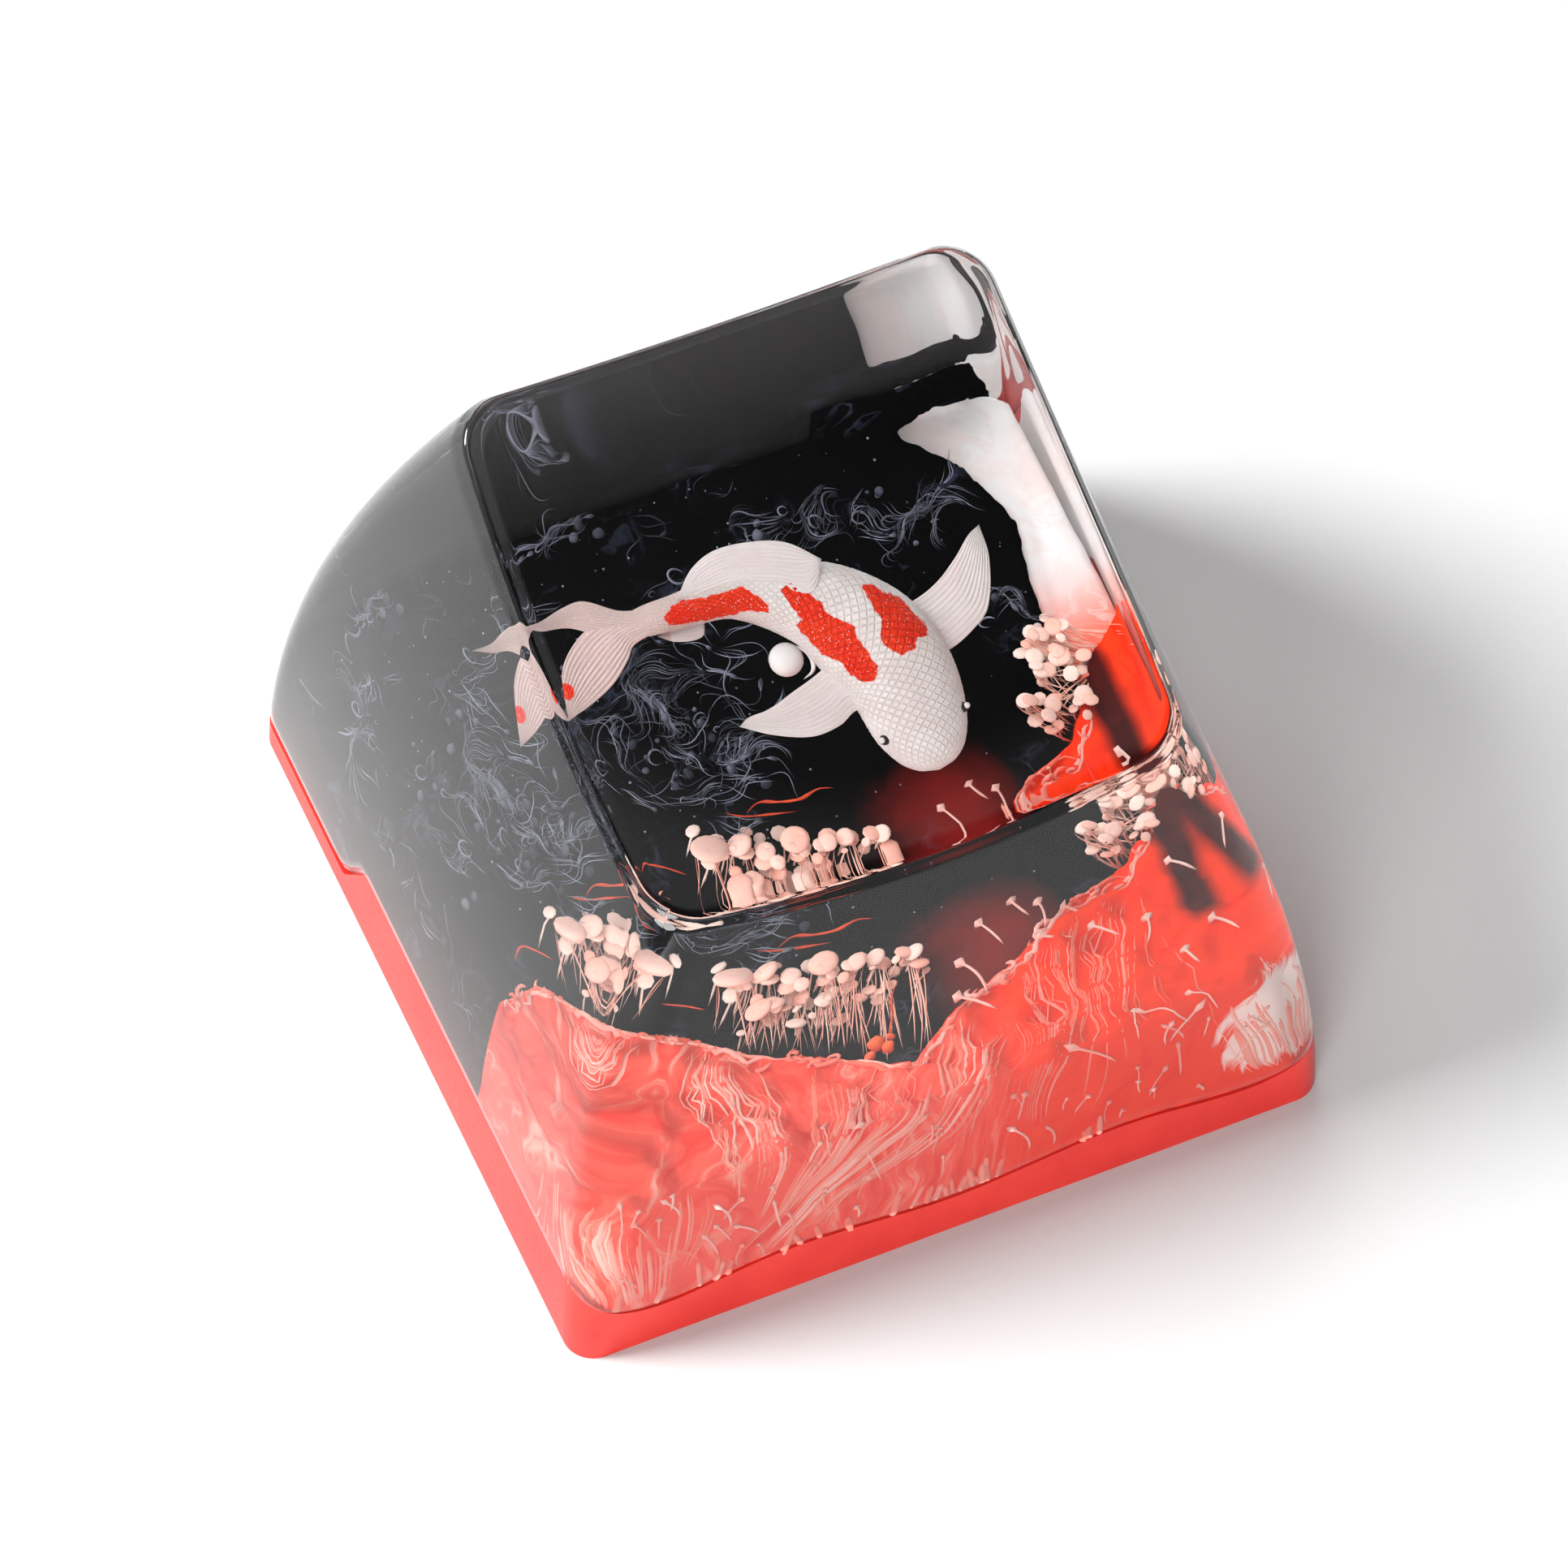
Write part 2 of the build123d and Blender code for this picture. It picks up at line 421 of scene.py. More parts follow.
def make_ink_marble():
    """Node group: flowing ink, as fine threads and as broad clouds."""
    group = bpy.data.node_groups.new("ink_marble", "ShaderNodeTree")
    for name, value in (("Scale", 1.0), ("Swirl", 2.0)):
        socket = group.interface.new_socket(name, in_out="INPUT", socket_type="NodeSocketFloat")
        socket.default_value = value
    for name in ("Threads", "Clouds"):
        group.interface.new_socket(name, in_out="OUTPUT", socket_type="NodeSocketFloat")
    start = group.nodes.new("NodeGroupInput")
    end = group.nodes.new("NodeGroupOutput")
    scale = start.outputs["Scale"]
    place = in_millimetres(group)
    for size, part in ((0.4, 1.0), (1.1, 0.4)):
        drift = put("TexNoise", {"Vector": place, "Scale": size, "Detail": 1.5}).outputs["Color"]
        middle = put("VectorMath", {0: drift, 1: (0.5, 0.5, 0.5)}, operation="SUBTRACT").outputs[0]
        push = times(start.outputs["Swirl"], part)
        moved = put("VectorMath", {0: middle, "Scale": push}, operation="SCALE").outputs[0]
        place = put("VectorMath", {0: place, 1: moved}, operation="ADD").outputs[0]
    fine = soft_noise(place, scale, 4.0, 0.55)
    folded = calculate("ABSOLUTE", calculate("SUBTRACT", fine, 0.5))
    clouds = soft_noise(place, times(scale, 0.45), 3.0)
    fill(end, {"Threads": mask(folded, 0.055, 0.0), "Clouds": clouds})
    return group


INK_MARBLE = make_ink_marble()


def marble(tree, scale, swirl):
    """Places the flowing ink in a material."""
    made = put("Group", {"Scale": scale, "Swirl": swirl}, tree, node_tree=INK_MARBLE)
    return made.outputs["Threads"], made.outputs["Clouds"]


# Clear resin

SKIN_CUTS = 55
SKIN_OVERLAP = 0.12
# Pocket inside the opaque base: the reach and height of its edges, then the rings inside the stem
POCKET = ((7.5, None), (7.35, 2.75))
POCKET_STEM = ((2.4, 2.75), (2.4, 4.07))


def clear_resin():
    material, _, shader = new_material("clear_resin")
    fill(shader, {
        "Base Color": (1.0, 1.0, 1.0, 1),
        "Roughness": 0.0,
        "IOR": 1.5,
        "Transmission Weight": 1.0,
        "Sheen Weight": 0.23,
        "Sheen Roughness": 0.4,
    })
    return material


def spread(value):
    """Moves even steps towards the ends, so that the corners get more of them."""
    return sin(value * pi / 2)


def pour_heights():
    """A function for the height of the opaque base under a point near the outside."""
    shell = shell_of(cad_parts["base_casting"])

    def height(x, y):
        start = form_point(x, y, 0.12, 0.3)
        start.z = BACK_HEIGHT
        hit = shell.ray_cast(start, Vector((0, 0, -1)))[0]
        return hit.z

    return height


def make_clear_body():
    """Outer skin above the pour line, closed by a pocket that lies inside the opaque base."""
    pour_height = pour_heights()
    bm = bmesh.new()
    bmesh.ops.create_cube(bm, size=2)
    bmesh.ops.subdivide_edges(bm, edges=bm.edges, cuts=SKIN_CUTS, use_grid_fill=True)
    bottom = [face for face in bm.faces if face.normal.z < -0.5]
    bmesh.ops.delete(bm, geom=bottom, context="FACES")
    rim = []
    for edge in bm.edges:
        ends = [vert.co for vert in edge.verts]
        if all(end.z > 0.999 and max(abs(end.x), abs(end.y)) > 0.999 for end in ends):
            rim.append(edge)
    limits = {}
    for vert in bm.verts:
        x, y, z = vert.co
        reach = max(abs(x), abs(y))
        if reach < 1e-6:
            vert.co = drop_to_dish(TOP_MIDDLE)
            continue
        edge_x, edge_y = spread(x / reach), spread(y / reach)
        key = (round(edge_x, 5), round(edge_y, 5))
        if key not in limits:
            limits[key] = rim_share(edge_x, edge_y), pour_height(edge_x, edge_y)
        top_share, pour = limits[key]
        rim_point = form_point(edge_x, edge_y, top_share)
        if z > 0.999:
            vert.co = drop_to_dish(TOP_MIDDLE.lerp(rim_point, reach)) if reach < 0.9999 else rim_point
        elif z < -0.999:
            vert.co = wall_point(edge_x, edge_y, pour - SKIN_OVERLAP, SKIN_OVERLAP)
        else:
            vert.co = wall_point(edge_x, edge_y, pour + (rim_point.z - pour) * (z + 1) / 2)
    bmesh.ops.bevel(bm, geom=rim, offset=RIM_BEVEL, segments=3, profile=0.5, affect="EDGES", material=-1)
    loop = [edge for edge in bm.edges if edge.is_boundary]
    for reach, height in POCKET + POCKET_STEM:
        grown = bmesh.ops.extrude_edge_only(bm, edges=loop)["geom"]
        loop = [item for item in grown if isinstance(item, bmesh.types.BMEdge) and item.is_boundary]
        for vert in {vert for edge in loop for vert in edge.verts}:
            x, y, z = vert.co
            share = reach / (hypot(x, y) if (reach, height) in POCKET_STEM else max(abs(x), abs(y)))
            vert.co = (x * share, y * share, height or z)
    bmesh.ops.contextual_create(bm, geom=loop)
    piece = finish_mesh(bm, "clear_resin", clear_resin())
    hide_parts("clear_body")


# Opaque base

def red_resin():
    material, tree, shader = new_material("red_resin")
    place = in_millimetres(tree)
    drift = soft_noise(place, 0.5, 3.0)
    grain = soft_noise(place, 9.0, 4.0)
    colour = blend(mask(drift, 0.35, 0.65), (0.62, 0.018, 0.012), (0.69, 0.028, 0.018))
    rough = put("MapRange", {"Value": grain, "To Min": 0.28, "To Max": 0.5}).outputs[0]
    bump = put("Bump", {"Height": grain, "Strength": 0.06, "Distance": 0.02 * MM}).outputs[0]
    fill(shader, {"Base Color": colour, "Roughness": rough, "Normal": bump})
    return material


# Ink clouds

CLOUD_SMOOTHING = 4


def red_ink():
    """Coral ink that has run down in fibres, more orange on the right, and pale at its right corner."""
    material, tree, shader = new_material("red_ink", 0.0)
    place = in_millimetres(tree)
    axes = split(place)
    right = mask(axes["X"], -0.5, 2.5)
    down = plus(axes["Y"], axes["Z"])
    drift = soft_noise(place, 0.4, 2.0)
    lean = times(down, times(right, -0.6))
    across = plus(plus(axes["X"], times(drift, 4.5)), lean)
    run = put("CombineXYZ", {"X": across, "Y": times(down, 0.2), "Z": 0.0}).outputs[0]
    fibres = soft_noise(run, 1.9, 5.0, 0.62)
    deep = blend(right, (0.86, 0.040, 0.024), (0.92, 0.022, 0.004))
    coral = blend(right, (0.95, 0.105, 0.070), (0.97, 0.045, 0.008))
    colour = blend(mask(fibres, 0.32, 0.52), deep, coral)
    veil = times(mask(fibres, 0.52, 0.7), calculate("SUBTRACT", 0.9, right))
    colour = blend(veil, colour, (0.98, 0.42, 0.34))
    side = times(mask(axes["X"], 6.3, 6.8), mask(axes["X"], 7.7, 7.2))
    side = times(side, mask(axes["Y"], -5.9, -4.6))
    colour = blend(side, colour, (0.06, 0.005, 0.005))
    away = measure("DISTANCE", place, (8.0, -8.4, 3.1))
    ragged = plus(away, times(fibres, 2.6))
    colour = blend(mask(ragged, 2.9, 2.5), colour, (0.98, 0.80, 0.75))
    fill(shader, {"Base Color": colour, "Roughness": 0.5})
    return material


def black_ink():
    """Black ink with a faint blue marbling, and a dark red stain behind the notch of the red cloud."""
    material, tree, shader = new_material("black_ink", 0.0)
    threads, clouds = marble(tree, 0.75, 3.2)
    share = times(threads, mask(clouds, 0.5, 0.75))
    colour = blend(share, (0.0012, 0.0012, 0.0016), (0.06, 0.07, 0.12))
    away = measure("DISTANCE", in_millimetres(tree), (2.3, -3.4, 3.8))
    ragged = plus(away, times(clouds, 2.0))
    colour = blend(mask(ragged, 3.6, 1.4), colour, (0.20, 0.010, 0.008))
    fill(shader, {"Base Color": colour, "Roughness": 0.5})
    return material


def pale_ink():
    """White ink with pink clouds, and red where it meets the red cloud."""
    material, tree, shader = new_material("pale_ink", 0.0)
    threads, clouds = marble(tree, 0.8, 2.4)
    front = mask(split(in_millimetres(tree))["Y"], 3.5, 0.5)
    pink = blend(mask(clouds, 0.45, 0.65), (0.97, 0.955, 0.95), (0.96, 0.84, 0.81))
    warm = blend(front, pink, (0.90, 0.20, 0.13))
    colour = blend(times(threads, 0.4), warm, (0.93, 0.80, 0.76))
    fill(shader, {"Base Color": colour, "Roughness": 0.45})
    return material


def soften(bm):
    """Draws each corner of a mesh halfway to its neighbours."""
    every_way = {"use_axis_x": True, "use_axis_y": True, "use_axis_z": True}
    bmesh.ops.smooth_vert(bm, verts=bm.verts, factor=0.5, **every_way)


def make_cloud(node, grain, billow, material):
    """A cloud's solid with soft edges and a billowing surface."""
    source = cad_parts[node]
    bm = bmesh.new()
    bm.from_mesh(source.data)
    bm.transform(source.matrix_world)
    bmesh.ops.remove_doubles(bm, verts=bm.verts, dist=1e-6)
    holder = mesh_object(bm, node + "_draft")
    draft = holder.data
    remesh = holder.modifiers.new("even_grain", "REMESH")
    remesh.mode = "VOXEL"
    remesh.voxel_size = grain * MM
    even = bpy.data.meshes.new_from_object(holder.evaluated_get(bpy.context.evaluated_depsgraph_get()))
    bpy.data.objects.remove(holder)
    bpy.data.meshes.remove(draft)
    bm = bmesh.new()
    bm.from_mesh(even)
    bpy.data.meshes.remove(even)
    bmesh.ops.scale(bm, vec=(1 / MM, 1 / MM, 1 / MM), verts=bm.verts)
    for _ in range(CLOUD_SMOOTHING):
        soften(bm)
    bm.normal_update()
    shifts = [vert.normal * billow(vert.co, vert.normal) for vert in bm.verts]
    for vert, shift in zip(bm.verts, shifts):
        vert.co += shift
    soften(bm)
    piece = finish_mesh(bm, node + "_ink", material)
    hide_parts(node)
    return piece


def red_billow(point, normal):
    """Lumps along the top, a wall close behind the clear cover, and a foot sunk in the base."""
    up = max(normal.z, 0)
    lumps = noise.turbulence(point * 0.9, 3, False)
    folds = noise.noise(Vector((point.x * 1.1, (point.y + point.z) * 0.3, 1.7)))
    return up * (0.4 * lumps + 0.12 * folds - 0.05) + (1 - up) * 0.04 + 0.3 * max(-normal.z, 0)


def black_billow(point, normal):
    """Soft swells on the floor, and a ragged edge on the right."""
    up = max(normal.z, 0)
    right = clamp((point.x - 5.0) / 1.5)
    ragged = noise.turbulence(point * 1.6, 2, True)
    return 0.12 * up * noise.noise(point * 0.7) + right * (0.5 * ragged - 0.5) * (1 - up)


def pale_billow(point, normal):
    """Low swells on the top, and a left side that runs under the black cloud."""
    swell = 0.1 * noise.noise(point * 0.9) + 0.05 * noise.noise(point * 2.3)
    return max(normal.z, 0) * swell + 0.6 * max(-normal.x, 0)


# Pink threads on the red cloud

THREAD_STEPS = 18
THREAD_COVER = 0.12
THREAD_FOOT = 1.3
LOWEST_PATH = 1.2
FRONT_REACH = HALF_BASE - 0.7
FRONT_FACE = -8.4
SHOULDER = 0.4
# How far the ink has run sideways for each step down, along the front
LEANS = ((-10.5, 0.0), (-8.0, 0.1), (-5.5, -0.2), (-2.0, -0.85), (0.5, -1.0), (1.8, -0.4), (3.2, -0.4),
         (5.2, 0.0), (7.0, 0.5), (9.5, 0.1))
# Bundles on the left lobe, round its corner, on the right lobe and at its pale end
# Number, and ranges of x, share of the path or low path, radius, tone with its bend, strands and stride
BUNDLES = (
    (32, (-5.4, 1.8), (0.6, 1.0), None, (0.018, 0.055), (0.1, 1.0), 1.3, (2, 7), (0.16, 0.32)),
    (26, (-10.4, -6.0), None, (2.6, 4.3), (0.018, 0.06), (0.1, 0.8), 1, (2, 5), (0.08, 0.16)),
    (22, (1.5, 6.2), (0.7, 1.0), None, (0.012, 0.03), (0.0, 0.4), 1, (1, 4), (0.22, 0.36)),
    (10, (6.6, 9.4), None, (3.0, 4.3), (0.03, 0.09), (0.5, 1.0), 1, None, None),
)
PALE_STRANDS = 4
PALE_STRIDE = 0.16
# Heads of the thin-stemmed drops over the right lobe
SPROUTS = ((1.96, -2.77), (2.89, -2.44), (3.42, -2.76), (3.89, -3.29), (3.13, -4.0), (4.3, -4.3),
           (5.6, -4.7), (6.5, -3.0), (6.9, -5.6), (6.1, -6.4), (1.15, -3.9), (0.8, -5.1))
SPROUT_TOP = 5.0
SPROUT_STEPS = 10
WALL_SPROUTS = 64
FINGERS = 30
FINGER_PROFILE = (0.9, 1, 1, 0.95, 0.95, 1, 0.75, 0.02)
RIDGES = 40
RIDGE_STEPS = 12
CURLS = 46
CURL_STEPS = 9


def border_depth(x):
    """Where the red cloud's border lies along y."""
    return smooth_between(RED_BORDER, clamp(x, RED_BORDER[0][0], RED_BORDER[-1][0]))[0]


def red_path(x):
    """Length of the way up the front wall, over the shoulder and back to the border."""
    return RED_TOP + SHOULDER * (pi / 2 - 2) + border_depth(x) - FRONT_FACE


def red_place(x, path):
    """Point on the red cloud's skin: up the front wall, over the shoulder and back along the top."""
    run = x / FRONT_REACH
    over = path - RED_TOP + SHOULDER
    bend = clamp(over / SHOULDER, 0, pi / 2)
    height = min(path, RED_TOP - SHOULDER) + SHOULDER * sin(bend)
    back = SHOULDER * (1 - cos(bend)) + max(over - SHOULDER * pi / 2, 0)
    turn = clamp((abs(run) - 0.9) / 0.2) * pi / 2
    spot = front_wall(run, height, THREAD_COVER)
    spot += Vector((-copysign(sin(turn), run), cos(turn), 0)) * back
    spot.z += THREAD_COVER * sin(bend)
    return spot


def fall(x, path):
    """Direction in which the red ink has run."""
    lean = smooth_between(LEANS, clamp(x, LEANS[0][0], LEANS[-1][0]))[0]
    lean *= clamp(2.0 - 0.32 * path, 0.3, 1.5)
    angle = atan2(-1, lean) + 0.7 * noise.noise(Vector((x * 0.4, path * 0.4, 3.7)))
    angle += 0.3 * noise.noise(Vector((x * 1.1, path * 1.1, 9.1)))
    return cos(angle), sin(angle)


def skin_of(piece):
    """A function that moves a point onto a piece's skin and lifts it off by a little."""
    skin = shell_of(piece)

    def hug(point, lift):
        spot, normal, _, _ = skin.find_nearest(point)
        return spot + normal * lift

    return hug


def tone_ink(name, dark, light):
    """An ink whose tone attribute runs from the dark colour to the light one."""
    material, tree, shader = new_material(name, 0.0)
    colour = blend(stored(tree, "tone")["Fac"], dark, light)
    fill(shader, {"Base Color": colour, "Roughness": 0.5})
    return material


def add_bundle(bm, draw, hug, x, path, strands, radius, tone, stride):
    """A bundle of threads that run down side by side, half sunk in the red cloud."""
    for _ in range(strands):
        here_x = x + draw.gauss(0, 0.2)
        here_path = path + draw.gauss(0, 0.25)
        thick = radius * draw.uniform(0.4, 1.4)
        points = []
        while len(points) < THREAD_STEPS and (here_path > THREAD_FOOT or len(points) < 4):
            spot = red_place(here_x, clamp(here_path, LOWEST_PATH, red_path(here_x)))
            points.append(hug(spot, -0.5 * thick))
            along, up = fall(here_x, here_path)
            here_x += along * stride
            here_path += up * stride
        thread(bm, points, thick, 6, min(tone * draw.uniform(0.6, 1.2), 1), 0.8)


def add_bundles(bm, draw, hug):
    """Draped bundles on the left, fine fibres on the right and pale ones at the end."""
    for count, xs, reach, low, radii, tones, bend, strands, strides in BUNDLES:
        for _ in range(count):
            x = draw.uniform(*xs)
            path = red_path(x) * draw.uniform(*reach) if reach else 0
            radius, tone = drawn(draw, radii, tones)
            if low:
                path = draw.uniform(*low)
            number = draw.randint(*strands) if strands else PALE_STRANDS
            stride = draw.uniform(*strides) if strides else PALE_STRIDE
            add_bundle(bm, draw, hug, x, path, number, radius, tone**bend, stride)


def add_sprouts(bm, draw, hug):
    """Drops on thin stems over the right lobe, and small ones up the wall."""
    for x, y in SPROUTS:
        turn, bow, length = drawn(draw, (-1.4, -0.4), (-0.5, 0.5), (0.6, 1.5))
        points = []
        for share in shares(SPROUT_STEPS):
            left = 1 - share
            way = turn + bow * left
            out = Vector((cos(way), sin(way), 0)) * length * left
            points.append(Vector((x, y, SPROUT_TOP - 0.25 * left**2)) + out)
        thick, head, tone = drawn(draw, (0.025, 0.04), (0.12, 0.18), (0.7, 1.0))
        thread(bm, points, thick, 6, tone, head=head)
    for _ in range(WALL_SPROUTS):
        x, low, lean, bow = drawn(draw, (-8.6, 8.0), (1.5, 4.2), (-0.5, 0.5), (-0.8, 0.8))
        length, head = drawn(draw, (0.25, 1.2), (0.05, 0.12))
        points = []
        for share in shares(SPROUT_STEPS):
            spot = red_place(x + (lean + bow * share) * share * length, low + length * share)
            points.append(hug(spot, 0.02))
        thick, tone = drawn(draw, (0.015, 0.04), (0.3, 0.9))
        thread(bm, points, thick, 6, tone, head=head)


def add_fingers(bm, draw, hug):
    """Blunt fingers that stand on the base line."""
    for _ in range(FINGERS):
        x, lean, length, thick = drawn(draw, (-8.6, 3.5), (-0.4, 0.4), (0.3, 0.9), (0.06, 0.13))
        points = []
        for share in shares(len(FINGER_PROFILE)):
            points.append(hug(red_place(x + lean * share, THREAD_FOOT + length * share), -0.2 * thick))
        tube(bm, points, [thick * size for size in FINGER_PROFILE], 6, draw.uniform(0.1, 0.45))


def add_border(bm, draw, hug):
    """Ridges and small curls along the red cloud's border."""
    for _ in range(RIDGES):
        x, back, wave, turn = drawn(draw, (-7.2, 6.2), (-0.45, 0.05), (0.03, 0.14), (0, 6.3))
        length, thick = drawn(draw, (0.5, 1.5), (0.025, 0.075))
        points = []
        for step, share in enumerate(shares(RIDGE_STEPS)):
            here = x + length * share
            y = border_depth(here) + back + wave * sin(turn + step * 1.1)
            points.append(hug(Vector((here, y, RED_TOP + 0.1)), 0.2 * thick))
        thread(bm, points, thick, 6, draw.uniform(0.0, 0.8), 0.4)
    for _ in range(CURLS):
        x, thick, back = drawn(draw, (-7.2, 7.0), (0.03, 0.075), (-0.5, 0.0))
        size, start, sweep = drawn(draw, (0.08, 0.22), (0, 6.3), (0.3, 0.65))
        middle = hug(Vector((x, border_depth(x) + back, RED_TOP)), thick)
        tilt = drawn_tilt(draw)
        points = []
        for step in range(CURL_STEPS):
            turn = start + step * sweep
            flat = Vector((1.4 * cos(turn), sin(turn), 0))
            points.append(middle + tilt @ flat * size * (1 - step / 14))
        thread(bm, points, thick, 6, draw.uniform(0.0, 0.8), 0.4)


def make_threads(draw, hug):
    """Everything fine that hangs on the red cloud's skin."""
    bm = new_toned()
    for add in (add_bundles, add_sprouts, add_fingers, add_border):
        add(bm, draw, hug)
    piece = finish_mesh(bm, "pink_threads", tone_ink("pink_ink", (0.95, 0.16, 0.10), (0.99, 0.70, 0.62)))


# Places and sizes of the orange lumps in the notch
NOTCH_LUMPS = (
    ((-1.15, -5.55, 4.7), 0.2),
    ((-0.9, -5.75, 4.65), 0.17),
    ((-0.75, -5.4, 4.65), 0.12),
    ((-1.35, -5.8, 4.6), 0.14),
)
# Courses and radii of the dark red wisps
RED_WISPS = (
    (((-0.9, -5.6, 4.5), (-0.55, -4.7, 4.6), (-0.4, -4.1, 4.75), (-0.1, -3.6, 4.8)), 0.035),
    (((-2.4, -1.3, 5.0), (-2.0, -1.15, 5.05), (-1.5, -1.3, 5.0), (-1.0, -1.4, 5.0), (-0.5, -1.3, 5.0),
      (-0.1, -1.4, 4.95)), 0.045),
    (((-2.9, -1.1, 5.0), (-2.5, -1.35, 5.0), (-1.9, -1.5, 4.95), (-1.2, -1.65, 4.9)), 0.03),
    (((-5.9, -1.9, 4.8), (-5.4, -1.7, 4.9), (-4.9, -1.9, 4.85), (-4.4, -2.3, 4.8)), 0.04),
)
RED_WISP_STEPS = 20


def make_red_wisps():
    """Thin dark red wisps behind the drops, and small orange lumps in the notch."""
    bm = new_toned()
    for place, size in NOTCH_LUMPS:
        add_ball(bm, Vector(place), size, 1.0, 2, 0.6)
    for curve, radius in RED_WISPS:
        points = along_curve(curve, RED_WISP_STEPS)
        radii = tapered(RED_WISP_STEPS, radius)
        for step, point in enumerate(points):
            radii[step] *= 0.8 + 0.6 * noise.noise(point * 3)
        tube(bm, points, radii, 6, 0.5, 0.5)
    piece = finish_mesh(bm, "red_wisps", tone_ink("red_wisp_ink", (0.45, 0.02, 0.02), (0.93, 0.16, 0.06)))


# Peach drops: flat heads whose thin tails stand on the clouds

# First head, last head and number of heads in each row, first and last radius, and the drift of the tails
DROP_ROWS = (
    ((-3.65, -2.05, 5.2), (0.3, -2.9, 4.95), 7, (0.46, 0.23), (-0.35, -0.3)),
    ((-3.3, -2.95, 4.9), (-0.5, -3.4, 4.6), 7, (0.33, 0.15), (-0.2, -0.3)),
    ((5.1, -1.1, 5.0), (6.5, -1.25, 4.8), 3, (0.28, 0.22), (0.7, -0.2)),
    ((6.0, -0.3, 4.95), (6.9, -0.1, 4.9), 3, (0.24, 0.2), (0.7, 0.0)),
    ((6.0, 0.5, 4.95), (6.8, 0.8, 4.9), 3, (0.24, 0.2), (0.6, 0.1)),
)
# Fall and width of a head from its crown to its neck, in radii
HEAD_PROFILE = ((0.04, 0.01), (0.01, 0.35), (0.04, 0.7), (0.14, 0.93), (0.28, 1.0), (0.42, 0.9), (0.5, 0.5),
                (0.65, 0.15))
SMALL_DROPS = 5
SMALL_HEAD = 0.26
VEIL_STRANDS = 8
VEIL_STEPS = 12


def add_drop(bm, draw, middle, head, drift, sides):
    """A mushroom head with a tail down to the clouds."""
    crown = middle + Vector((0, 0, 0.3 * head))
    foot = max(black_height(middle.x, middle.y) - 0.1, middle.z - 1.4)
    neck = middle.z - 0.35 * head
    lean = Vector((*drawn(draw, (-0.5, 0.5), (-0.5, 0.5)), 0))
    points, radii = [], []
    for drop, width in HEAD_PROFILE:
        points.append(crown - (Vector((0, 0, 1)) + lean) * drop * head)
        radii.append(head * width)
    sway = Vector(drift) * draw.uniform(0.3, 1.3)
    for share in (0.35, 0.7, 1.0):
        aside = sway * share**1.5
        points.append(Vector((middle.x + aside.x, middle.y + aside.y, neck + (foot - neck) * share)))
        radii.append(0.0 if share == 1 else 0.02 + 0.05 * head)
    tube(bm, points, radii, sides, draw.uniform(0.2, 1.0))


def add_veil(bm, draw, middle, head, drift):
    """Fine strands from a drop's head to the red border."""
    for _ in range(VEIL_STRANDS):
        start = middle + Vector((*drawn(draw, (-0.8, 0.8), (-0.8, 0.8)), -0.2)) * head
        end_x = start.x + drift[0] * draw.uniform(0.4, 2.6)
        back = (border_depth(end_x) - start.y) * draw.uniform(0.4, 1.0)
        sway = Vector((end_x - start.x, back, RED_TOP - 0.1 - start.z))
        bow = draw.uniform(1.0, 1.8)
        points = []
        for share in shares(VEIL_STEPS):
            points.append(start + Vector((sway.x * share**bow, sway.y * share, sway.z * share**0.6)))
        thread(bm, points, draw.uniform(0.006, 0.022), 4, draw.uniform(0.0, 0.7))


def make_drops(draw):
    """Rows of drops with smaller ones between them, and veils of strands under their heads."""
    bm = new_toned()
    for first, last, count, heads, drift in DROP_ROWS:
        for share in shares(count):
            head = heads[0] + (heads[1] - heads[0]) * share
            middle = Vector(first).lerp(Vector(last), share)
            middle += Vector(drawn(draw, (-0.16, 0.16), (-0.2, 0.2), (-0.1, 0.06)))
            add_drop(bm, draw, middle, head * draw.uniform(0.65, 1.1), drift, 14)
            for _ in range(SMALL_DROPS):
                aside = Vector((draw.gauss(0, 0.36), draw.gauss(-0.1, 0.3), draw.uniform(-0.4, 0.05)))
                add_drop(bm, draw, middle + aside, SMALL_HEAD * draw.uniform(0.35, 1.0), drift, 9)
            add_veil(bm, draw, middle, head, drift)
    piece = finish_mesh(bm, "peach_drops", tone_ink("peach_ink", (0.94, 0.40, 0.30), (0.99, 0.79, 0.70)))
    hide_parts("pale_drops")


# Smoke of pale blue ink over the black cloud

# Middle and spread seen from above, and the number of bundles
SMOKE_CLUSTERS = (
    ((-3.2, 1.4), (0.9, 1.0), 40),
    ((-2.4, 0.3), (0.6, 0.5), 16),
    ((-5.2, 1.4), (0.7, 0.8), 14),
    ((1.4, 5.8), (0.7, 0.4), 14),
    ((3.2, 5.5), (0.7, 0.35), 14),
    ((4.5, 4.5), (0.4, 0.4), 8),
    ((-3.5, 7.4), (1.2, 0.4), 10),
    ((-6.4, 4.8), (0.6, 1.2), 12),
    ((-2.7, 4.4), (0.9, 0.7), 10),
    ((5.9, 1.8), (0.3, 0.3), 4),
)
SMOKE_HEIGHT = (4.6, 5.4)
WISP_STEPS = 14
WISP_HEADS = (0, 0, 0, 0, 0, 0, 0, 0.07)
RING_STEPS = 13
WALL_WISPS = 60
WALL_STEPS = 12
WALL_HEADS = (0, 0, 0, 0.06)
SMOKE_DOTS = 140
DOT_MIDDLE = (-1, 3)
DOT_REACH = (4, 3)


def smoke_drift(point):
    """Direction in which a wisp drifts."""
    turn = 5.5 * noise.noise(point * 0.55) + 1.8 * noise.noise(point * 1.5)
    rise = 0.35 * noise.noise(point * 0.9 + Vector((5, 1, 8)))
    return Vector((cos(turn), sin(turn), rise)).normalized()


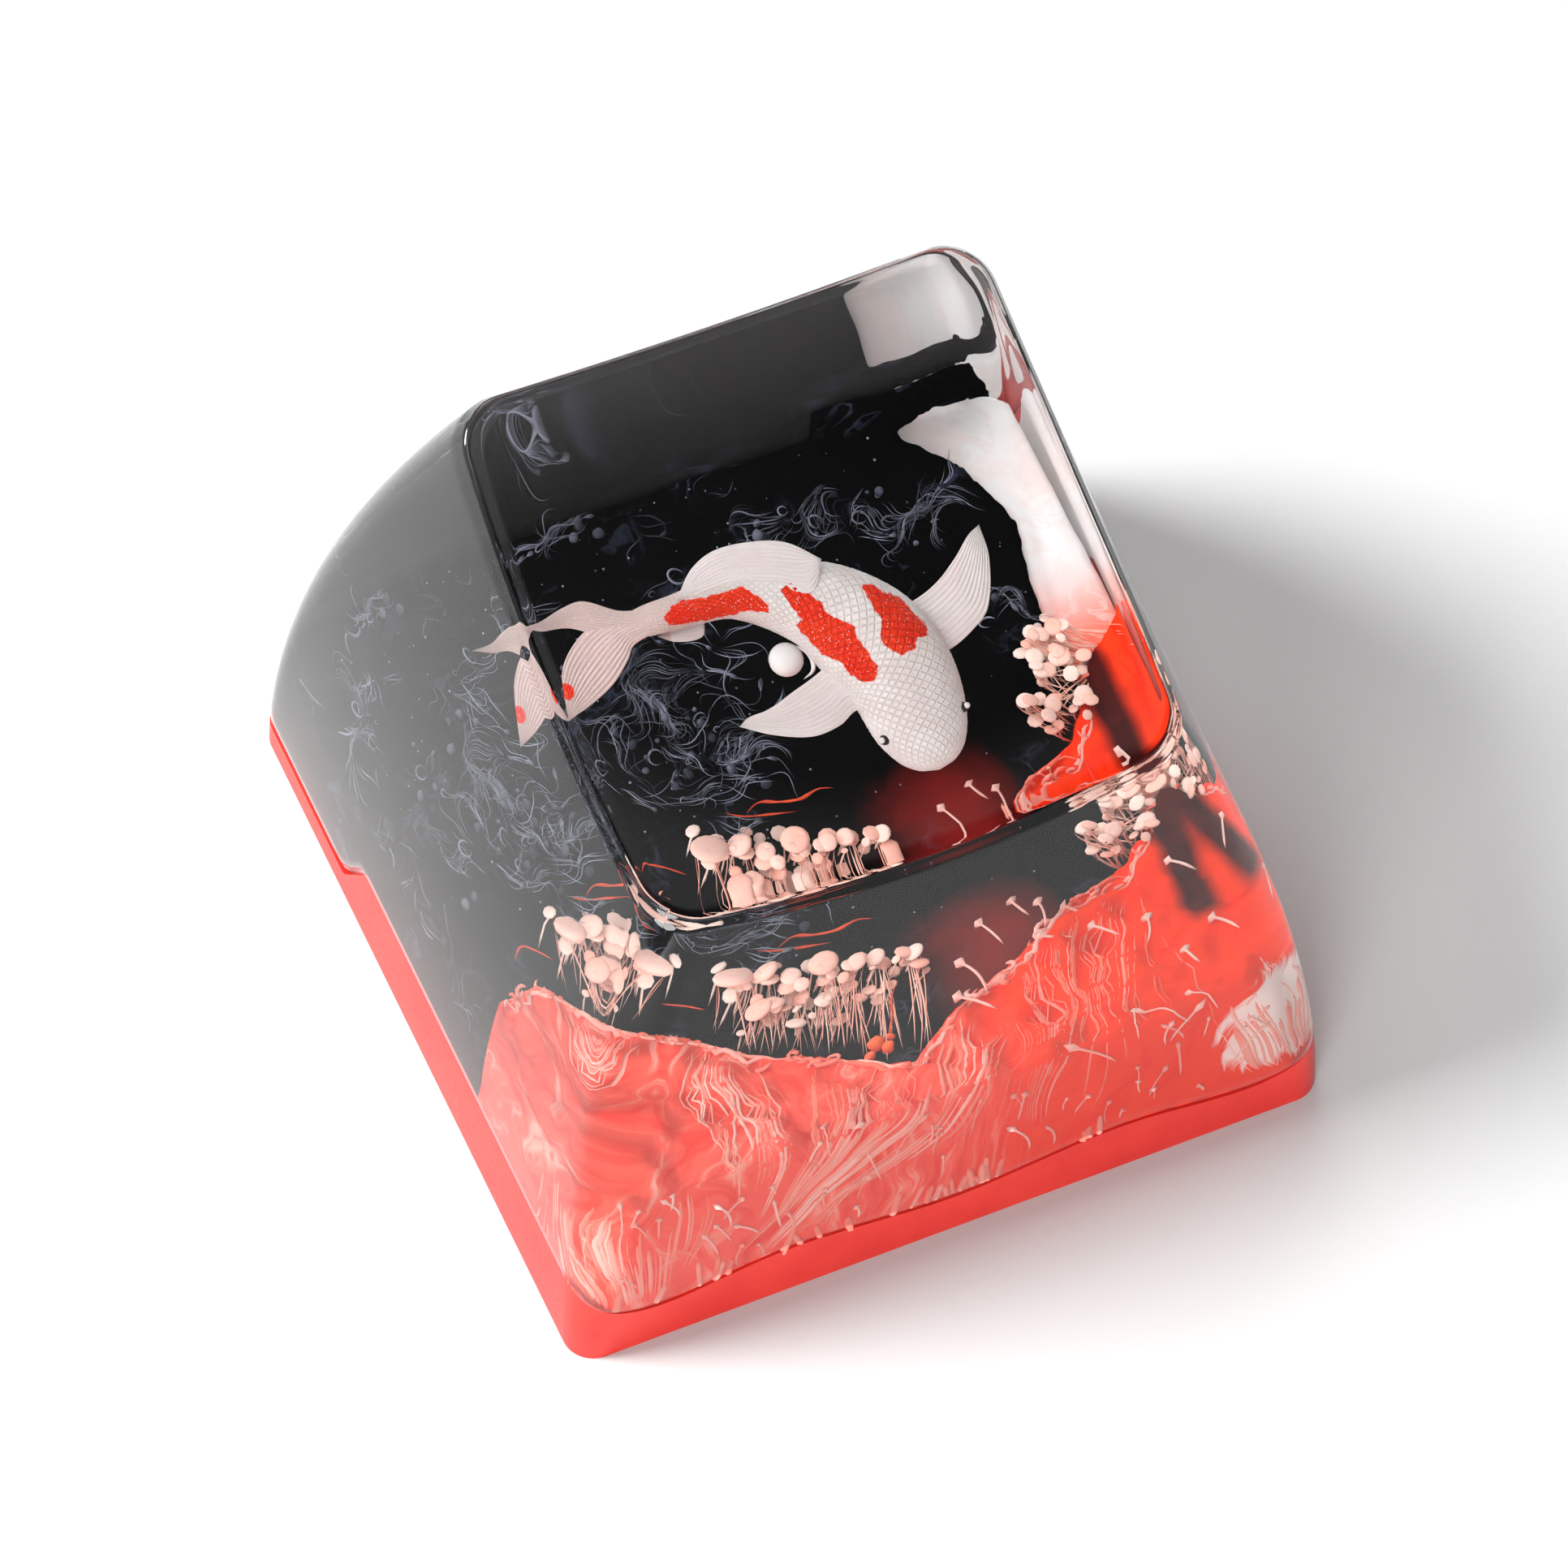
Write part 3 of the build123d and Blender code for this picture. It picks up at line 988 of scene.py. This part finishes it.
def smoke_place(draw, middle, reach):
    """A drawn point in the layer of smoke over the black cloud."""
    x = clamp(draw.gauss(middle[0], reach[0]), -7.6, 6.4)
    y = clamp(draw.gauss(middle[1], reach[1]), -2.0, 7.6)
    return Vector((x, y, draw.uniform(*SMOKE_HEIGHT)))


def make_smoke(draw):
    """Curled wisps, small rings, puffs and dots of pale blue ink."""
    bm = new_toned()
    for middle, reach, count in SMOKE_CLUSTERS:
        for _ in range(count):
            start = smoke_place(draw, middle, reach)
            stride, tone = drawn(draw, (0.06, 0.14), (0.1, 0.9))
            for _ in range(draw.randint(3, 8)):
                point = start + Vector([draw.gauss(0, 0.16) for _ in range(3)])
                points = []
                for _ in range(WISP_STEPS):
                    points.append(point.copy())
                    point += smoke_drift(point) * stride
                    point.z = max(point.z, black_height(point.x, point.y) + 0.03)
                head = draw.choice(WISP_HEADS)
                radius = draw.uniform(0.005, 0.016)
                thread(bm, points, radius, 4, tone**1.5 * draw.uniform(0.6, 1), 0.9, head)
        for _ in range(count // 4):
            centre = smoke_place(draw, middle, reach)
            size = draw.uniform(0.06, 0.24)
            tilt = drawn_tilt(draw)
            open_part = draw.uniform(0.7, 1.0)
            points = []
            for share in shares(RING_STEPS):
                turn = 2 * pi * share * open_part
                points.append(centre + tilt @ Vector((cos(turn), sin(turn), 0)) * size)
            thread(bm, points, size * 0.13, 5, draw.uniform(0.2, 0.7), 0.5)
        for _ in range(count // 3):
            centre = smoke_place(draw, middle, reach)
            add_ball(bm, centre, *drawn(draw, (0.03, 0.16), (0.05, 0.3)), 2, 0.5)
    for _ in range(WALL_WISPS):
        y, z, cover, stride = drawn(draw, (-3.0, 7.0), (3.0, 5.2), (0.2, 0.55), (0.05, 0.14))
        points = []
        for _ in range(WALL_STEPS):
            points.append(wall_point(-1, y / HALF_BASE, z, cover))
            turn = 5 * noise.noise(Vector((y * 0.6, z * 0.6, 2.0)))
            y += cos(turn) * stride
            z += sin(turn) * stride
        radius, head = draw.uniform(0.008, 0.03), draw.choice(WALL_HEADS)
        thread(bm, points, radius, 4, draw.uniform(0.05, 0.6), 0.8, head)
    for _ in range(SMOKE_DOTS):
        centre = smoke_place(draw, DOT_MIDDLE, DOT_REACH)
        add_ball(bm, centre, *drawn(draw, (0.01, 0.04), (0.1, 0.9)), 1)
    piece = finish_mesh(bm, "blue_smoke", tone_ink("blue_ink", (0.004, 0.005, 0.010), (0.52, 0.56, 0.72)))


# Koi, in a plane parallel to the top: u to the right, v up the slope, w towards the top

KOI_DEPTH = 3.3
KOI_SIGHT = (0.174, 0.133)
KOI_SPINE = by_length(((1.5, -4.6), (1.52, -3.5), (1.5, -2.1), (1.1, -1.05), (0.3, -0.05), (-1.3, 0.75),
                       (-2.6, 0.8), (-3.75, 0.83)))
KOI_GIRTH = ((0, 0.02, 0.02), (0.012, 0.42, 0.26), (0.05, 0.8, 0.52), (0.13, 1.1, 0.76),
             (0.28, 1.27, 0.95), (0.4, 1.28, 1.0), (0.54, 1.0, 0.85), (0.73, 0.56, 0.58),
             (0.88, 0.39, 0.34), (0.96, 0.36, 0.16), (1, 0.3, 0.03))
KOI_PATCHES = (
    ((-2.98, 0.77), (-2.75, 0.92), (-2.41, 1.0), (-1.92, 0.9), (-1.48, 0.85), (-1.02, 0.86),
     (-0.62, 0.26), (-0.72, 0.11), (-1.1, 0.29), (-1.55, 0.32), (-2.12, 0.4), (-2.97, 0.55)),
    ((-0.25, 0.52), (0.0, 0.58), (0.19, 0.4), (0.5, -0.05), (0.5, -0.32), (0.97, -0.84), (0.97, -1.22),
     (1.13, -1.82), (0.96, -2.14), (0.7, -2.13), (0.46, -1.81), (0.37, -1.47), (0.06, -1.2),
     (-0.24, -0.37), (-0.06, -0.32), (-0.15, 0.02)),
    ((1.5, -0.02), (1.72, -0.04), (1.87, -0.31), (2.14, -0.49), (2.31, -0.82), (2.52, -1.4),
     (2.47, -1.61), (2.2, -1.55), (2.06, -1.77), (1.71, -1.8), (1.47, -1.55), (1.46, -1.2),
     (1.62, -0.92), (1.54, -0.65)),
)
# Each fin by its outer and its inner edge, from root to tip
KOI_FINS = (
    (((-3.0, 1.08, 0), (-3.85, 1.21, 0.02), (-4.65, 1.7, 0.1), (-5.2, 1.68, 0.12), (-5.8, 1.55, 0.1),
      (-6.6, 1.6, 0)),
     ((-3.0, 0.6, 0), (-4.0, 0.7, 0.05), (-4.65, 0.9, 0.1), (-5.2, 1.22, 0.1), (-5.9, 1.35, 0.1),
      (-6.6, 1.6, 0))),
    (((-3.0, 0.55, 0), (-3.88, 0.39, 0.02), (-4.16, 0.1, 0.06), (-4.7, -0.32, 0.1), (-5.5, -0.65, 0.1),
      (-6.2, -0.8, 0)),
     ((-3.0, 1.0, 0), (-4.0, 1.1, 0.05), (-4.6, 1.1, 0.1), (-5.1, 0.9, 0.1), (-5.65, 0.4, 0.1),
      (-6.2, -0.8, 0))),
    (((1.7, -0.7, 0), (2.42, -0.74, 0.0), (3.11, -0.53, 0.05), (3.73, -0.14, 0.12), (4.22, 0.25, 0.1),
      (4.56, 0.4, 0)),
     ((1.8, -2.2, 0), (2.86, -2.06, 0.0), (3.39, -1.87, 0.1), (3.95, -1.5, 0.2), (4.45, -0.4, 0.15),
      (4.56, 0.4, 0))),
    (((0.5, -1.3, 0), (-0.3, -1.61, 0.0), (-0.9, -1.79, 0.05), (-1.6, -2.0, 0.1), (-2.1, -2.02, 0.05),
      (-2.36, -2.15, 0)),
     ((0.9, -2.75, 0), (0.28, -2.67, 0.0), (-0.22, -2.88, 0.1), (-0.9, -2.92, 0.15), (-1.7, -2.6, 0.1),
      (-2.36, -2.15, 0))),
    (((-2.6, 1.02, 0.3), (-2.05, 1.55, 0.35), (-1.4, 1.78, 0.4), (-0.5, 1.68, 0.45), (0.2, 1.4, 0.5),
      (0.75, 0.75, 0.75)),
     ((-2.6, 0.95, 0.2), (-1.9, 0.85, 0.4), (-1.2, 0.78, 0.52), (-0.4, 0.45, 0.7), (0.25, 0.1, 0.85),
      (0.75, 0.75, 0.75))),
    (((-2.1, 0.5, -0.3), (-2.3, 0.12, -0.3), (-2.9, 0.18, -0.25), (-3.3, 0.42, -0.1)),
     ((-2.1, 0.6, -0.3), (-2.5, 0.5, -0.3), (-2.9, 0.5, -0.2), (-3.3, 0.42, -0.1))),
)
KOI_SPOT = (-5.8, -0.15)
KOI_SPOT_SIZE = 0.2
KOI_EYES = ((0.56, -3.55, 0.3), (2.5, -3.45, 0.3))
# Name, radius, shift to the outside and colour of the two parts of the eyes: a dark rim, and in front of it
# a pale ball that is a painted highlight
KOI_EYE_PARTS = (
    ("koi_eye_rims", 0.13, 0.0, (0.01, 0.01, 0.01, 1)),
    # Painted highlight: a pale ball set in front of each dark eye.
    ("koi_eye_highlights", 0.075, 0.085, (0.9, 0.88, 0.86, 1)),
)
KOI_HEAD_MIDDLE = 1.5
KOI_BODY_GRID = (300, 168)
KOI_FIN_GRID = (40, 96)
KOI_FIN_THICKNESS = 0.11
KOI_FIN_RAYS = 9
SCALES_ALONG = 44
SCALES_AROUND = 28
SCALE_RISE = 0.022
BEAD_PLACE = (-0.68, -0.98, -0.5)
BEAD_RADIUS = 0.4
BEAD_CURL = ((-0.42, -0.72, -0.4), (-0.22, -0.95, -0.3), (-0.16, -1.2, -0.3), (-0.24, -1.45, -0.3),
             (-0.5, -1.55, -0.4))
BEAD_CURL_STEPS = 15
BEAD_CURL_RADIUS = 0.05


def koi_point(u, v, w):
    """A point of the koi's plane in the keycap's frame."""
    return TOP_MIDDLE + Vector((u, 0, 0)) + TOP_ALONG * v + TOP_NORMAL * (w - KOI_DEPTH)


def koi_place(point):
    """The koi's plane coordinates of a point."""
    offset = point - TOP_MIDDLE
    return offset.x, offset.dot(TOP_ALONG), offset.dot(TOP_NORMAL) + KOI_DEPTH


def scale_place(share, turn):
    """Place on the koi's skin, counted in scales along the two slants of their net."""
    along, around = share * SCALES_ALONG, turn / (2 * pi) * SCALES_AROUND
    return along + around, along - around


def scale_height(share, turn):
    """How far the middle of a scale stands out over its edge."""
    first, second = scale_place(share, turn)
    edge = min(first % 1, 1 - first % 1, second % 1, 1 - second % 1)
    fade = min(share / 0.12, (1 - share) / 0.1, 1)
    return SCALE_RISE * fade * sin(pi * edge)


def inside_depth(u, v, outline):
    """Distance from the outline, positive inside it."""
    inside = False
    nearest = 1e9
    for (first_u, first_v), (second_u, second_v) in zip(outline, outline[1:] + outline[:1]):
        if (first_v > v) != (second_v > v):
            if u < first_u + (v - first_v) / (second_v - first_v) * (second_u - first_u):
                inside = not inside
        run_u, run_v = second_u - first_u, second_v - first_v
        share = clamp(((u - first_u) * run_u + (v - first_v) * run_v) / (run_u**2 + run_v**2))
        nearest = min(nearest, hypot(u - first_u - share * run_u, v - first_v - share * run_v))
    return nearest if inside else -nearest


def ray_place(turn):
    """Place across a fin, in which its rays are even."""
    return 4 - 4 * cos(turn)


def koi_paint():
    """Pearl and red paint with a net of scales, rays on the fins, and painted glints: small near-white
    spots that stand in for sparkle.
    """
    material, tree, shader = new_material("koi_paint", 0.15)
    place = in_millimetres(tree)
    patch = stored(tree, "patch")["Fac"]
    fin = stored(tree, "fin")["Fac"]
    scales = stored(tree, "scales")["Vector"]
    axes = split(scales)
    flat = axes["Z"]
    ragged = calculate("SUBTRACT", soft_noise(place, 6.0, 3.0), 0.5)
    painted = mask(plus(patch, times(ragged, 0.16)), -0.02, 0.02)
    inputs = {"Vector": scales, "Scale": 1.0, "Randomness": 0.0}
    net = put("TexVoronoi", inputs, feature="DISTANCE_TO_EDGE").outputs["Distance"]
    line = times(mask(net, 0.2, 0.0), calculate("SUBTRACT", 1.0, flat))
    cloudy = soft_noise(place, 1.4, 3.0)
    pearl = blend(mask(cloudy, 0.35, 0.65), (0.86, 0.80, 0.77), (0.93, 0.90, 0.88))
    pearl = blend(times(flat, 0.5), pearl, (0.80, 0.77, 0.77))
    pearl = blend(times(line, 0.22), pearl, (0.62, 0.50, 0.50))
    pearl = blend(times(fin, 0.75), pearl, (0.60, 0.41, 0.375))
    red = blend(mask(cloudy, 0.3, 0.7), (0.84, 0.025, 0.005), (0.90, 0.05, 0.012))
    red = blend(times(line, 0.5), red, (0.55, 0.015, 0.004))
    colour = blend(painted, pearl, red)
    # Painted glints: small near-white spots scattered over the paint stand in for sparkle.
    glint_cells = put("TexVoronoi", {"Vector": place, "Scale": 18.0}).outputs
    pick = split(glint_cells["Color"])["X"]
    painted_glint = times(mask(glint_cells["Distance"], 0.3, 0.12), mask(pick, 0.62, 0.7))
    colour = blend(times(painted_glint, 0.8), colour, (0.98, 0.96, 0.94))
    rays = calculate("SINE", times(axes["Y"], KOI_FIN_RAYS))
    rays = times(times(rays, flat), 0.3)
    relief = plus(times(line, -1.0), rays)
    bump = put("Bump", {"Height": relief, "Strength": 0.7, "Distance": 0.04 * MM}).outputs[0]
    fill(shader, {"Base Color": colour, "Roughness": 0.35, "Normal": bump})
    return material


def make_koi():
    """Body, tail and fins of the koi, with the places of its patches and scales stored on the mesh."""
    bm = bmesh.new()
    patch = bm.verts.layers.float.new("patch")
    fin = bm.verts.layers.float.new("fin")
    scales = bm.verts.layers.float_vector.new("scales")

    def body_place(share, turn):
        u, v = smooth_between(KOI_SPINE, share)
        ahead_u, ahead_v = smooth_between(KOI_SPINE, min(share + 0.01, 1))
        behind_u, behind_v = smooth_between(KOI_SPINE, max(share - 0.01, 0))
        along = Vector((ahead_u - behind_u, ahead_v - behind_v)).normalized()
        half_width, half_height = smooth_between(KOI_GIRTH, share)
        raised = scale_height(share, turn)
        out = (half_width + raised) * cos(turn)
        return koi_point(u - along.y * out, v + along.x * out, (half_height + raised) * sin(turn))

    def body_paint(vert, share, turn):
        u, v, w = koi_place(vert.co)
        seen_u, seen_v = u + KOI_SIGHT[0] * w, v + KOI_SIGHT[1] * w
        depth = max(inside_depth(seen_u, seen_v, outline) for outline in KOI_PATCHES)
        vert[patch] = depth if w > -0.25 else -0.3
        vert[scales] = Vector((*scale_place(share, turn), 0))
        vert[fin] = clamp((share - 0.62) / 0.3)

    def fin_paint(vert, share, turn):
        u, v, _ = koi_place(vert.co)
        vert[patch] = KOI_SPOT_SIZE - hypot(u - KOI_SPOT[0], v - KOI_SPOT[1])
        vert[fin] = 1.0 if u < -3.0 else 0.25
        vert[scales] = Vector((share * 12, ray_place(turn), 1))

    roll_up(bm, *KOI_BODY_GRID, body_place, body_paint)
    for outer, inner in KOI_FINS:
        outer_stations, inner_stations = by_length(outer), by_length(inner)

        def fin_place(share, turn):
            first = Vector(smooth_between(outer_stations, share))
            second = Vector(smooth_between(inner_stations, share))
            middle = first.lerp(second, 0.5 - 0.5 * cos(turn))
            rays = 0.1 * share * sin(KOI_FIN_RAYS * ray_place(turn))
            thick = KOI_FIN_THICKNESS * (1 - 0.8 * share) * sin(turn) * (1 + rays)
            return koi_point(middle.x, middle.y, middle.z + thick)

        roll_up(bm, *KOI_FIN_GRID, fin_place, fin_paint)
    piece = finish_mesh(bm, "koi_figure", koi_paint())
    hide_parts("koi")


def add_globe(bm, centre, radius, segments, rings):
    """A smooth ball."""
    verts = bmesh.ops.create_uvsphere(bm, u_segments=segments, v_segments=rings, radius=radius)["verts"]
    bmesh.ops.translate(bm, verts=verts, vec=centre)


def make_eyes():
    """Dark eyes, each with a painted highlight: a pale ball set in front of its middle, on both sides of
    the head.
    """
    for name, radius, shift, colour in KOI_EYE_PARTS:
        material, _, shader = new_material(name)
        fill(shader, {"Base Color": colour, "Roughness": 0.2})
        bm = bmesh.new()
        for u, v, w in KOI_EYES:
            side = copysign(1, u - KOI_HEAD_MIDDLE)
            add_globe(bm, koi_point(u + side * shift, v, w + shift), radius, 16, 10)
        piece = finish_mesh(bm, name, material)


def make_bead():
    """White round bead beside the koi, with a thin curl at its side."""
    material, _, shader = new_material("white_bead", 0.1)
    fill(shader, {"Base Color": (0.88, 0.87, 0.86, 1), "Roughness": 0.3})
    bm = bmesh.new()
    add_globe(bm, koi_point(*BEAD_PLACE), BEAD_RADIUS, 24, 14)
    points = [koi_point(*place) for place in along_curve(BEAD_CURL, BEAD_CURL_STEPS)]
    thread(bm, points, BEAD_CURL_RADIUS, 8)
    piece = finish_mesh(bm, "white_bead", material)


def dress(node, material):
    """Gives a CAD node its finish."""
    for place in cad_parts[node].material_slots:
        place.material = material


# Stage: floor, world, lamps and camera

CAMERA_AZIMUTH = -27.4
CAMERA_ELEVATION = 57.15
CAMERA_ROLL = 3.99
CAMERA_DISTANCE = 197.7
CAMERA_TARGET = Vector((-0.64, -0.68, 6.42))
CAMERA_LENS = 205.0
CAMERA_SENSOR = 36.0
FLOOR_HALF = 600.0
FLOOR_GREY = (0.60, 0.60, 0.60, 1)
WORLD_STRENGTH = 0.5
# Direction of the ceiling patch that the top mirrors, and where it fades in
PATCH_DIRECTION = (0.23, -0.22, 0.948)
PATCH_EDGE = (0.85, 0.93)
# Name, place, width and watts of each lamp
LAMPS = (
    ("key", (-150, 70, 170), 90, 0.95),
    ("fill", (-150, -195, 85), 140, 0.6),
    ("top_back", (40, 190, 190), 140, 0.18),
)
LAMP_TARGET = Vector((0, 0, 5))


def make_camera():
    azimuth, elevation = radians(CAMERA_AZIMUTH), radians(CAMERA_ELEVATION)
    level = cos(elevation)
    back = Vector((sin(azimuth) * level, -cos(azimuth) * level, sin(elevation)))
    right = Vector((0, 0, 1)).cross(back).normalized()
    up = back.cross(right)
    turn = Matrix((right, up, back)).transposed().to_4x4()
    roll = Matrix.Rotation(radians(CAMERA_ROLL), 4, "Z")
    data = bpy.data.cameras.new("camera")
    data.lens = CAMERA_LENS
    data.sensor_width = CAMERA_SENSOR
    data.clip_start = 0.01
    data.clip_end = 10.0
    camera = add_object("camera", data)
    camera.matrix_world = Matrix.Translation((CAMERA_TARGET + back * CAMERA_DISTANCE) * MM) @ turn @ roll
    bpy.context.scene.camera = camera


def make_floor():
    bm = bmesh.new()
    bmesh.ops.create_grid(bm, x_segments=2, y_segments=2, size=FLOOR_HALF * MM)
    floor = mesh_object(bm, "floor")
    material, _, shader = new_material("white_floor", 0.1)
    fill(shader, {"Base Color": FLOOR_GREY, "Roughness": 0.9})
    floor.data.materials.append(material)


def make_world():
    """Even studio light, with a dark ceiling patch that the top mirrors towards the camera."""
    world = bpy.data.worlds.new("studio")
    world.use_nodes = True
    bpy.context.scene.world = world
    tree = world.node_tree
    place = put("TexCoord", {}, tree).outputs["Generated"]
    dark = mask(measure("DOT_PRODUCT", place, PATCH_DIRECTION), *PATCH_EDGE)
    colour = blend(dark, (1.0, 1.0, 1.0), (0.03, 0.03, 0.03))
    fill(tree.nodes["Background"], {"Color": colour, "Strength": WORLD_STRENGTH})


def make_lamp(name, place, size, watts):
    data = bpy.data.lights.new(name, "AREA")
    data.shape = "DISK"
    data.size = size * MM
    data.energy = watts
    lamp = add_object(name, data)
    lamp.location = Vector(place) * MM
    lamp.rotation_euler = (LAMP_TARGET - Vector(place)).to_track_quat("-Z", "Y").to_euler()


make_clear_body()
dress("base_casting", red_resin())
red_piece = make_cloud("red_cloud", 0.12, red_billow, red_ink())
make_cloud("black_cloud", 0.14, black_billow, black_ink())
make_cloud("pale_cloud", 0.12, pale_billow, pale_ink())
make_threads(random.Random(11), skin_of(red_piece))
make_red_wisps()
make_drops(random.Random(5))
make_smoke(random.Random(8))
make_koi()
make_eyes()
make_bead()
make_camera()
make_floor()
make_world()
for lamp_row in LAMPS:
    make_lamp(*lamp_row)

bpy.context.scene.view_settings.view_transform = "Standard"
